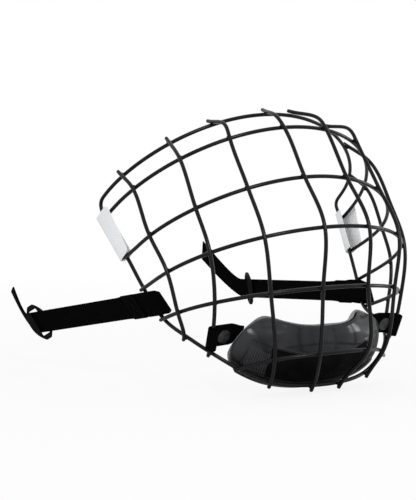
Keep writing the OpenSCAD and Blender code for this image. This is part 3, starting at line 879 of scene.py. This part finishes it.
def knot(p, i):
    if i == 0:
        return slope(p, 0)
    if i == len(p) - 1:
        return slope(p, len(p) - 2)
    return (slope(p, i - 1) * chord(p, i) + slope(p, i) * chord(p, i - 1)) / (chord(p, i - 1) + chord(p, i))


# Cubic curve from start to end over s, with its lean at both ends times the width
def cubic(s, start, start_lean, end, end_lean):
    return (start * (2 * s ** 3 - 3 * s ** 2 + 1) + start_lean * (s ** 3 - 2 * s ** 2 + s)
            + end * (3 * s ** 2 - 2 * s ** 3) + end_lean * (s ** 3 - s ** 2))


# Smooth curve through points in space, over the number of the point
def between(p, x):
    i = min(int(x), len(p) - 2)
    return cubic(x - i, p[i], chord(p, i) * knot(p, i), p[i + 1], chord(p, i) * knot(p, i + 1))


# Smooth line through pairs in order of their first number
def follow(line, x):
    x = min(max(x, line[0][0]), line[-1][0])
    i = max(k for k in range(len(line) - 1) if line[k][0] <= x)
    width = line[i + 1][0] - line[i][0]

    def lean(k):
        low, high = line[max(k - 1, 0)], line[min(k + 1, len(line) - 1)]
        return width * (high[1] - low[1]) / (high[0] - low[0])
    return cubic((x - line[i][0]) / width, line[i][1], lean(i), line[i + 1][1], lean(i + 1))


# Straight line between stops, each a share of the way and the value reached there
def staged(share, *stops):
    for (x0, y0), (x1, y1) in zip(stops, stops[1:]):
        if share <= x1:
            return y0 + (y1 - y0) * (share - x0) / (x1 - x0)
    return stops[-1][1]


def swell_at(x, centre, width):
    return max(0.0, 1 - ((x - centre) / width) ** 2) ** 2


# 1 between the inner two of four bounds, and 0 outside the outer two
def window(x, bounds):
    return ease(x, *bounds[:2]) * (1 - ease(x, *bounds[2:]))


def step_stops(step, line):
    first, second, before, behind = step
    return (first, line - before), (second, line + behind)


def past_step(x, step, line):
    return ease(x, line - step[2], line + step[3])


def ridge_at(u, v, line, ridge):
    off, half, fading, gone = ridge
    return swell_at(v, line + off, half) * (1 - ease(u, fading, gone))


# Point on the cup in metres, some millimetres deep towards its heart
def cup_at(u, v, depth):
    row = []
    for rail in CUP_RAILS:
        p = [Vector((-rail[1][0], *rail[1][1:]))] + [Vector(q) for q in rail]
        q = between(p, abs(u) + 1)
        row.append(Vector((-q.x, q.y, q.z)) if u < 0 else q)
    p = between(row, v)
    return (CUP_FRONT + p + depth * (CUP_HEART - p).normalized()) * MM


# The same, carried straight on above the first rail and below the last one
def cup_beyond(u, v, depth):
    inside = min(max(v, 0), LAST_ROW)
    point = cup_at(u, inside, depth)
    if v != inside:
        step = 0.1
        back = cup_at(u, inside + step if v < 0 else inside - step, depth)
        point += (point - back) * abs(v - inside) / step
    return point


def shell_row(share, top, seam):
    return staged(share, (0, top), *step_stops(SEAM_STEP, seam),
                  *step_stops(FOOT_STEP, BAND_FOOT), (1, LAST_ROW))


# The sheet's rows and columns crowd together at the steps of the recess
def shell_uv(a, b):
    side = follow(VENT_SIDE, shell_row(b, SHELL_TOP[0][1], BAND_TOP[0][1]))
    u = staged(abs(2 * a - 1), (0, 0), *step_stops(SIDE_STEP, side), (1, SHELL_SIDE))
    top = follow(SHELL_TOP, u)
    v = max(top, shell_row(b, top, follow(BAND_TOP, u)))
    return (u if a > 0.5 else -u), v


def shell_depth(u, v):
    u = abs(u)
    seam, side = follow(BAND_TOP, u), follow(VENT_SIDE, v)
    rim = min((v - follow(SHELL_TOP, u)) * CELL_H, (SHELL_SIDE - u) * CELL_W, (LAST_ROW - v) * CELL_H)
    sunk = ((1 - past_step(u, SIDE_STEP, side)) * past_step(v, SEAM_STEP, seam)
            * (1 - past_step(v, FOOT_STEP, BAND_FOOT)))
    ridges = ridge_at(u, v, seam, TOP_RIDGE) + ridge_at(u, v, BAND_FOOT, FOOT_RIDGE)
    return RIM_DROP * (1 - ease(rim, 0, RIM_RUN)) + CUP_RECESS * sunk - RIDGE_RISE * ridges * (1 - sunk)


def shell_shape(a, b):
    u, v = shell_uv(a, b)
    return cup_at(u, v, shell_depth(u, v))


# Thin moulded sheet, thickened towards the inside of the cup
def moulded(name, grid, shape, uv_size, thick, sharp, way=1):
    sheet = formed_sheet(name, grid, shape, uv_size)
    thicken(sheet, thick, -way, False)
    face_out(sheet)
    shade(sheet, sharp)
    return sheet


def make_shell():
    shell = moulded("chin_cup_gloss_shell", SHELL_GRID, shell_shape, CUP_UV_SIZE, SHELL_SKIN, SHARP)
    fit(shell, CUP, "chin_cup", "cup_plastic", "chin_cup_shell")


def make_binding():
    corner = follow(SHELL_TOP, SHELL_SIDE)
    top = [u / TOP_POINTS for u in range(-TOP_END, TOP_END + 1)]
    down = [corner + (LAST_ROW - corner) * i / SIDE_POINTS for i in range(SIDE_POINTS + 1)]
    lip = [SHELL_SIDE * (1 - i / LIP_POINTS) for i in range(1, 2 * LIP_POINTS)]
    spots = [(u, follow(SHELL_TOP, abs(u))) for u in top] + [(SHELL_SIDE, v) for v in down]
    spots += [(u, LAST_ROW) for u in lip] + [(-SHELL_SIDE, v) for v in reversed(down)]
    outline = rounded([cup_at(u, v, SHELL_SKIN) for u, v in spots], passes=3)
    binding = bead("chin_cup_edge_binding", outline, BINDING_R, True)
    shade(binding)
    fit(binding, BAND, "chin_cup", "band_plastic")


def liner_face(face):
    def shape(a, b):
        across, along = (0.5 - 0.5 * cos(pi * x) for x in (a, b))
        u = LINER_SIDE * (2 * across - 1)
        top = follow(LINER_TOP, abs(u))
        v = top + (LINER_FOOT - top) * along
        rim = min((v - top) * CELL_H, (LINER_SIDE - abs(u)) * CELL_W, (LINER_FOOT - v) * CELL_H)
        rim = min(max(rim / LINER_ROUND, 0), 1)
        half = LINER_T / 2 * sqrt(1 - (1 - rim) ** 2)
        return cup_beyond(u, v, LINER_MIDDLE - RIM_LEAN * (1 - rim) + face * half)
    return formed_sheet("liner_face", LINER_GRID, shape, CUP_UV_SIZE)


def make_liner():
    liner = join([liner_face(-1), liner_face(1)], "chin_cup_foam_liner")
    face_out(liner)
    shade(liner)
    fit(liner, FOAM, "chin_cup", "cup_foam", "chin_cup_liner")


def band_shape(a, b):
    u = VENT_START * (2 * a - 1) * BAND_SHORT
    head, foot = follow(BAND_TOP, abs(u)) + INSET, BAND_FOOT - INSET
    lip = swell_at(b, LIP_WIDTH, LIP_WIDTH) + swell_at(b, 1 - LIP_WIDTH, LIP_WIDTH)
    return cup_at(u, head + (foot - head) * b, BAND_SEAT - BAND_CROWN * sin(pi * b) - BAND_LIP * lip)


def make_band():
    band = moulded("chin_cup_matte_band", BAND_GRID, band_shape, BAND_UV_SIZE, BAND_T, SHARP)
    fit(band, BAND, "chin_cup", "band_plastic", "chin_cup_band")


def make_vent_pad(side, way):
    def shape(a, b):
        row = BAND_TOP[0][1] + (BAND_FOOT - BAND_TOP[0][1]) * b
        start, end = VENT_START + PAD_INSET, follow(VENT_SIDE, row) - INSET
        u = start + (end - start) * a
        head, foot = follow(BAND_TOP, u) + INSET, BAND_FOOT - INSET
        groove = (0.5 - 0.5 * cos(2 * pi * RIBS * a)) * window(b, RIBS_DOWN) * window(a, RIBS_ACROSS)
        bar = swell_at(b, PAD_BAR_AT, PAD_BAR_HALF)
        return cup_at(way * u, head + (foot - head) * b, PAD_SEAT - PAD_BAR_RISE * bar - RIB_DEPTH * groove)
    pad = moulded(side + "_ribbed_vent_pad", PAD_GRID, shape, PAD_UV_SIZE, PAD_T, PAD_SHARP, way)
    fit(pad, VENT, "chin_cup", "band_plastic", side + "_vent_pad")


make_shell()
make_binding()
make_liner()
make_band()
for side, way in SIDES.items():
    make_vent_pad(side, way)


# Slings and snaps

SLING_AT = (74.7695, -34.8864, -140.461)
SLING_TURNS = (159.786, 101.205, -169.469)
SLING_W, SLING_T, SLING_R, SLING_LAP = 14.6, 1.2, 2.88, 4.1
WING_LAP, WING_RUN, WING_BEYOND = 5, 3, 8
SLING_WING = SLING_AT[0] - CUP_HALF_WIDTH + WING_LAP
SLING_REACH = SLING_WING + WING_BEYOND
WING_STEP, SLING_TAPER, TAPER_FROM = 0.7, 0.45, 14
SNAP_EDGE, SNAP_SHARP, SNAP_SHADE = 0.7, 45, 40


# Half width of the sling, which narrows under the cup's wing
def sling_half(p):
    return SLING_W / 2 * (1 - SLING_TAPER * ease(-p.y, TAPER_FROM, SLING_REACH))


def sling_path():
    wing = [(SLING_R + WING_STEP, -SLING_REACH), (SLING_R + WING_STEP, -SLING_WING - WING_RUN)]
    turn = [(SLING_R * cos(radians(t)), SLING_R * sin(radians(t))) for t in range(0, 271, 10)]
    return wing + [(SLING_R, -SLING_WING)] + turn + [(SLING_R - SLING_T - LAYER_GAP, -SLING_LAP)]


def make_sling(side):
    stations = flat_stations(sling_path(), sling_half, 0)
    place = line_place(SLING_AT, *SLING_TURNS, side)
    sling = woven_band(side + "_sling_webbing", stations, SLING_T, SLING_W, place)
    fit(sling, WEBBING, "chin_cup", "webbing", side + "_sling")


def make_snap(side):
    snap = copy_of(side + "_sling_snap", side + "_sling_domed_snap")
    round_edges(snap, SNAP_EDGE, segments=3, angle=SNAP_SHARP)
    shade(snap, SNAP_SHADE)
    fit(snap, SNAP, "chin_cup", "snap_metal", side + "_sling_snap")


for side in SIDES:
    make_sling(side)
    make_snap(side)


# Floor, world and lamps, in metres

FLOOR_SIZE, FLOOR_Z = 12, -0.1775
FLOOR_COLOR, FLOOR_ROUGHNESS = (0.86, 0.86, 0.86), 0.9
WHITE = (1, 1, 1, 1)
# The camera sees the floor's own shade and shadow near the middle, and pure white from
# the second distance on
SHADOW_REACH, WHITE_REACH, WHITE_NEAR = 0.3, 0.9, 0.86
WORLD_ON_MATT, WORLD_SEEN = 0.8, 1.0
LAMP_AIM = Vector((0, 0, -0.08))


def make_floor():
    let_go()
    bpy.ops.mesh.primitive_plane_add(size=FLOOR_SIZE, location=(0, 0, FLOOR_Z))
    floor = name_piece("studio_floor")
    settle(floor)
    paint = Paint("pale_floor", FLOOR_COLOR, FLOOR_ROUGHNESS, Specular_IOR_Level=0.0)
    seen = paint.node("LightPath").outputs["Is Camera Ray"]
    glow = paint.node("Emission", {"Color": WHITE, "Strength": 1.0})
    away = paint.node("VectorMath", {0: paint.coordinate.outputs["Object"]}, operation="LENGTH")
    white = paint.spread(away.outputs["Value"], SHADOW_REACH, WHITE_REACH, WHITE_NEAR, 1.0)
    share = paint.reckon("MULTIPLY", seen, white)
    mixed = paint.node("MixShader", {0: share, 1: paint.shader.outputs[0], 2: glow.outputs[0]})
    paint.tree.links.new(mixed.outputs[0], paint.tree.nodes["Material Output"].inputs["Surface"])
    floor.data.materials.append(paint.material)


# White all round: the camera and reflections see it full, matt surfaces get a little less
def make_world():
    world = bpy.data.worlds.new("studio_world")
    bpy.context.scene.world = world
    world.use_nodes = True
    sky = Bench(world.node_tree)
    seen = sky.node("LightPath").outputs
    mirrored = sky.reckon("MAXIMUM", seen["Is Glossy Ray"], seen["Is Transmission Ray"])
    shown = sky.reckon("MAXIMUM", seen["Is Camera Ray"], mirrored)
    background = world.node_tree.nodes["Background"]
    background.inputs["Color"].default_value = WHITE
    level = sky.spread(shown, 0, 1, WORLD_ON_MATT, WORLD_SEEN)
    world.node_tree.links.new(level, background.inputs["Strength"])


def lamp(name, place, size, brightness):
    let_go()
    bpy.ops.object.light_add(type="AREA", location=place)
    light = bpy.context.object
    light.name = name
    light.data.size = size
    light.data.energy = brightness * pi * size ** 2
    light.rotation_euler = (LAMP_AIM - Vector(place)).to_track_quat("-Z", "Y").to_euler()
    light.visible_camera = False


make_floor()
make_world()
lamp("key_lamp", (-0.38, -1.19, 0.59), size=0.3, brightness=18)
lamp("fill_lamp", (1.36, -0.43, 0.04), size=0.3, brightness=8)
